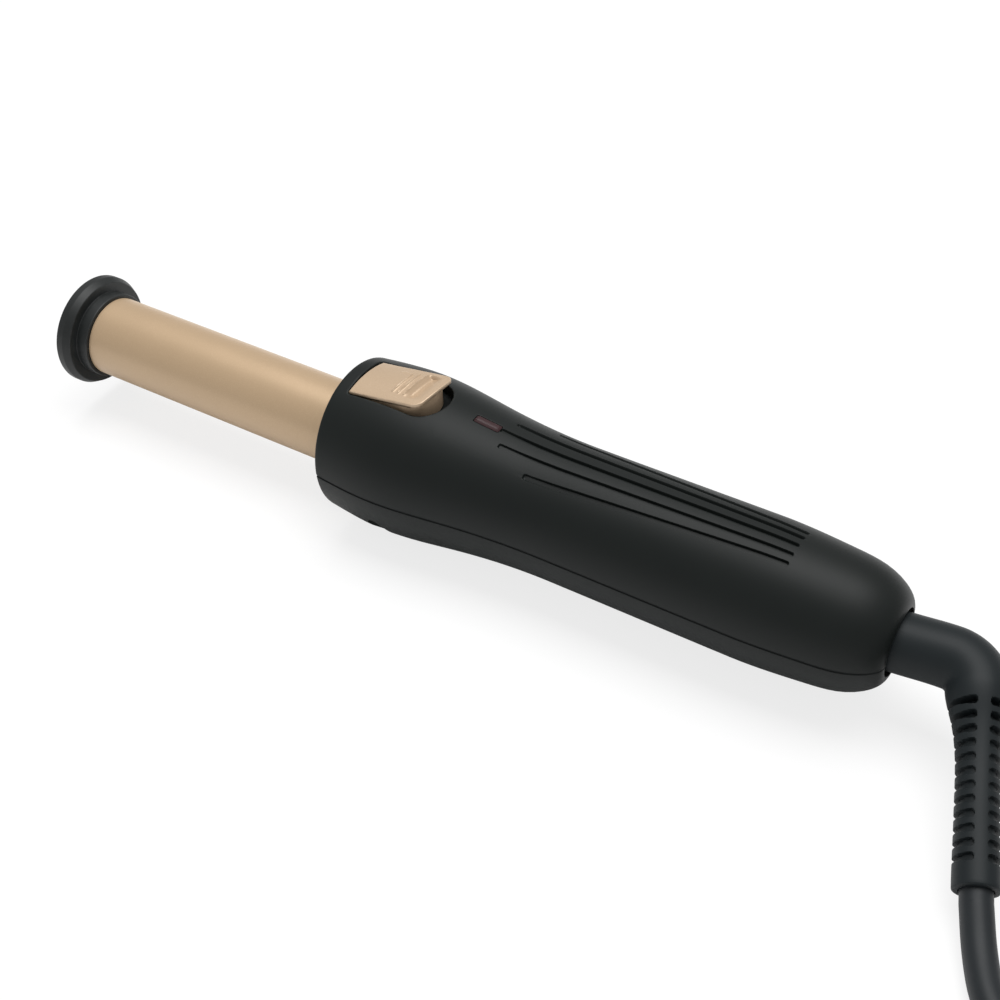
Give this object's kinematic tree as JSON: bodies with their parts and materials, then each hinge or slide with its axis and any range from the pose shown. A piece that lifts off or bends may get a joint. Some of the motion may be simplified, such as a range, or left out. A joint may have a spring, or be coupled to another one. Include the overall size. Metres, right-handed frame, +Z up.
{
  "type": "curling iron",
  "caption": "Short hot-barrel curling wand with a slim two-shell handle, slide switch, indicator lens and a swivelling elbowed mains lead.",
  "frame": {"origin": "middle of the wand on the ground plane, under the axis, with the lead left out of the measure", "axes": "+X along the wand from the tip cap to the cord, +Z up through the switch and the indicator, +Y to the left of someone looking from the tip to the cord"},
  "size_m": [0.4556, 0.088, 0.0383],
  "materials": {
    "barrel": "satin champagne coating on aluminium",
    "handle": "fine matt black",
    "tip_cap": "satin black, heat resistant",
    "knob": "pale champagne lacquer",
    "lens": "dark red translucent",
    "dark_plastic": "plain black moulding",
    "ring": "heat resistant black resin",
    "steel": "zinc plated",
    "aluminium": "extruded",
    "ceramic": "fired white ceramic",
    "film": "amber insulating film",
    "mica": "pressed mica",
    "board": "green laminate",
    "capacitor": "dipped",
    "resistor": "coated",
    "lamp": "red diffused",
    "brass": "bright",
    "nylon": "natural",
    "wire": "sleeved lead",
    "boot": "satin black",
    "cord": "satin black sheath",
    "tie": "soft strap",
    "plug": "satin black moulding"
  },
  "bodies": {
    "root": {"barrel_holder": "ring", "barrel_tube": "barrel", "board_screws": "steel", "capacitor": "capacitor", "circuit_board": "board", "contact_block": "dark_plastic", "contact_springs": "brass", "cord_coil": "cord", "cord_end": "cord", "cord_tie": "tie", "cord_tube": "cord", "electrode_lower": "steel", "electrode_upper": "steel", "front_ring": "ring", "handle_lower_shell": "handle", "handle_upper_shell": "handle", "heat_spreader_lower": "aluminium", "heat_spreader_upper": "aluminium", "heater_leads": "wire", "heating_element": "ceramic", "indicator_lamp": "lamp", "insulation_film": "film", "lamp_lens": "lens", "mica_disc": "mica", "plug_body": "plug", "plug_pins": "brass", "resistors": "resistor", "shell_screws": "steel", "slide_switch": "dark_plastic", "supply_leads": "wire", "swivel_bush": "nylon", "thermal_fuse": "steel", "tip_cap": "tip_cap"},
    "slider": {"slide_knob": "knob", "switch_slider": "dark_plastic", "switch_lever": "nylon"},
    "swivel": {"cord_boot": "boot", "swivel_core": "dark_plastic", "slip_rings": "brass"}
  },
  "joints": [
    {"name": "switch_slide", "type": "slide", "parent": "root", "child": "slider", "axis": [1, 0, 0], "range_m": [0, 0.002]},
    {"name": "cord_swivel", "type": "hinge", "parent": "root", "child": "swivel", "pos_m": [0.10328, 0, 0.0183], "axis": [-1, 0, 0], "continuous": true}
  ]
}
